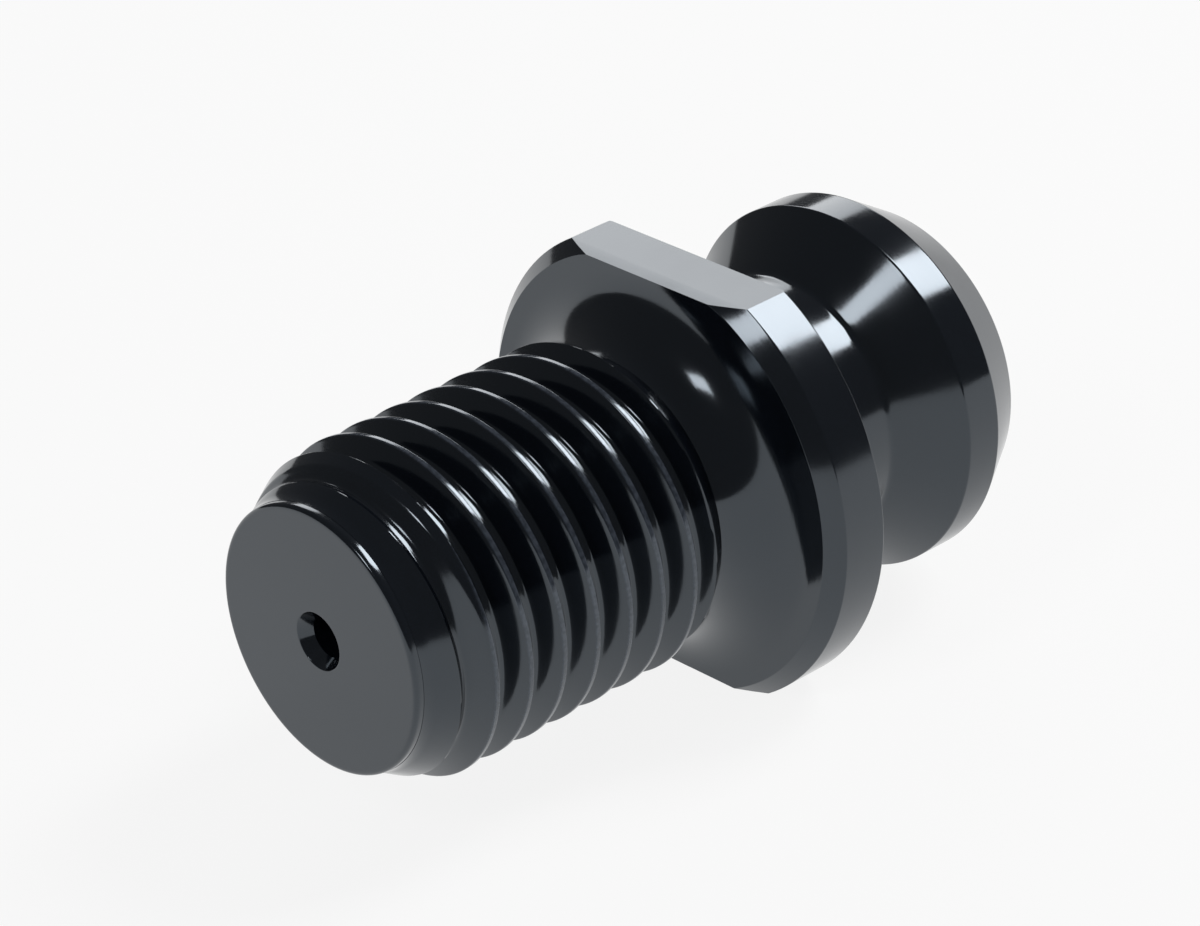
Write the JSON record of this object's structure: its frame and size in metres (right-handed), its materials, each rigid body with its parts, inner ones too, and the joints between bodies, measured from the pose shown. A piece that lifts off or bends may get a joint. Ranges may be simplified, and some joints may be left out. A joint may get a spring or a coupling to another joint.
{
  "type": "pull stud",
  "caption": "Turned steel pull stud for a machine-tool holder: coarse threaded shank, flange with two wrench flats, slim neck and a knob with a 45 degree gripping cone.",
  "frame": {"origin": "on the axis of the stud, in the plane of the flange's seat face", "axes": "+X along the axis from the thread to the knob, +Z square to the upper wrench flat, +Y to the side"},
  "size_m": [0.0583, 0.0366, 0.0313],
  "materials": {
    "black_oxide_steel": "black oxide, satin"
  },
  "bodies": {
    "root": {"pull_stud": "black_oxide_steel"}
  },
  "joints": []
}
